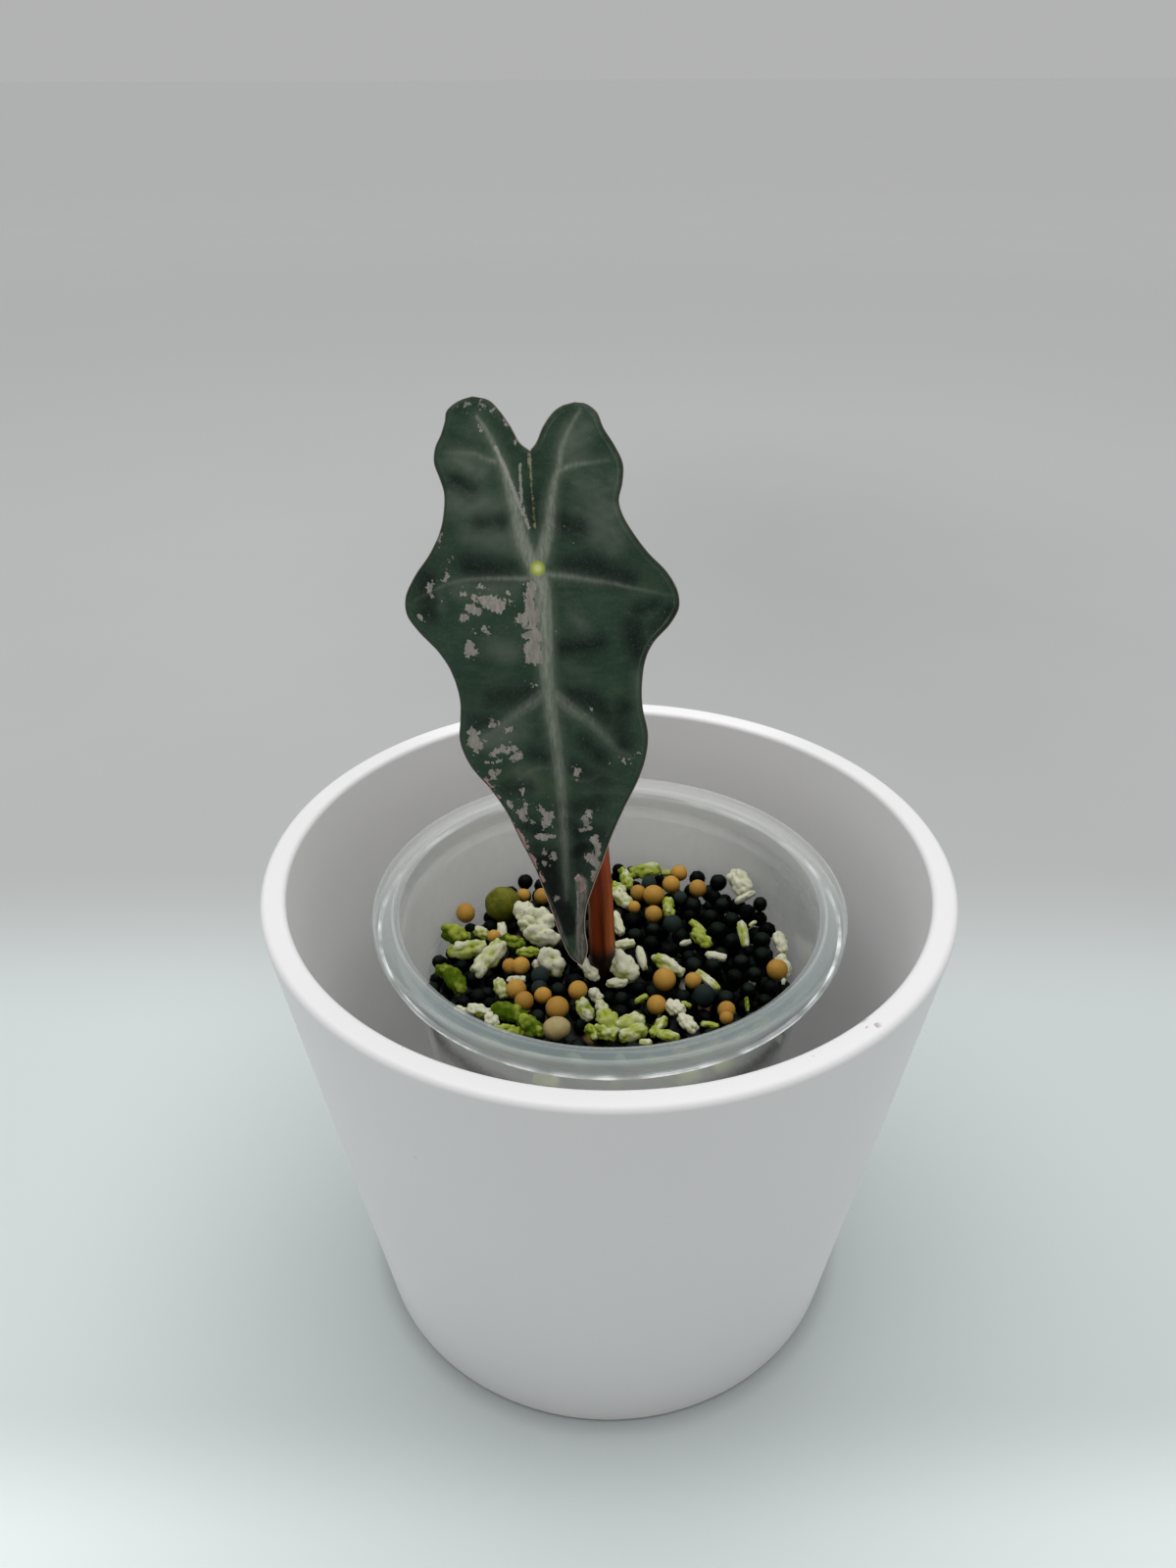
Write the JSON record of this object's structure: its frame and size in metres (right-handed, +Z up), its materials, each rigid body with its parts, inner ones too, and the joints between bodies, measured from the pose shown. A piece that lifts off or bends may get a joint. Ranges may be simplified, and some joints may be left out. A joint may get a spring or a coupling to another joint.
{
  "type": "potted variegated alocasia",
  "caption": "Small jewel alocasia with one dark, pink-flecked arrow leaf on a red stalk, rooted in mineral grains in a clear nursery cup inside a plain white cover pot.",
  "frame": {"origin": "middle of the cover pot's underside, on the surface that it stands on", "axes": "+Z up; the leaf's face looks along -Y; +X to the right of someone who looks at the leaf's face"},
  "size_m": [0.108, 0.108, 0.1552],
  "materials": {
    "pot_white": "smooth matt white glaze",
    "cup_clear": "milky translucent moulded plastic",
    "grain_black": "matt black round mineral grain",
    "perlite_white": "rough porous off-white",
    "perlite_green": "rough porous, stained green by algae",
    "prill_tan": "smooth satin tan",
    "clay_olive": "rough fired clay, stained olive",
    "leaf_green": "satin dark green with pale veins and pink-grey flecks",
    "petiole_red": "glossy red-brown",
    "corm_brown": "rough brown"
  },
  "bodies": {
    "root": {"cover_pot": "pot_white", "nursery_cup": "cup_clear", "substrate_bed": "grain_black", "perlite_heap_left": "perlite_white", "perlite_heap_front": "perlite_green", "prill_heap_back": "prill_tan", "prill_heap_front": "prill_tan", "clay_ball": "clay_olive", "leaf_blade": "leaf_green", "petiole": "petiole_red", "corm_and_roots": "corm_brown"}
  },
  "joints": []
}
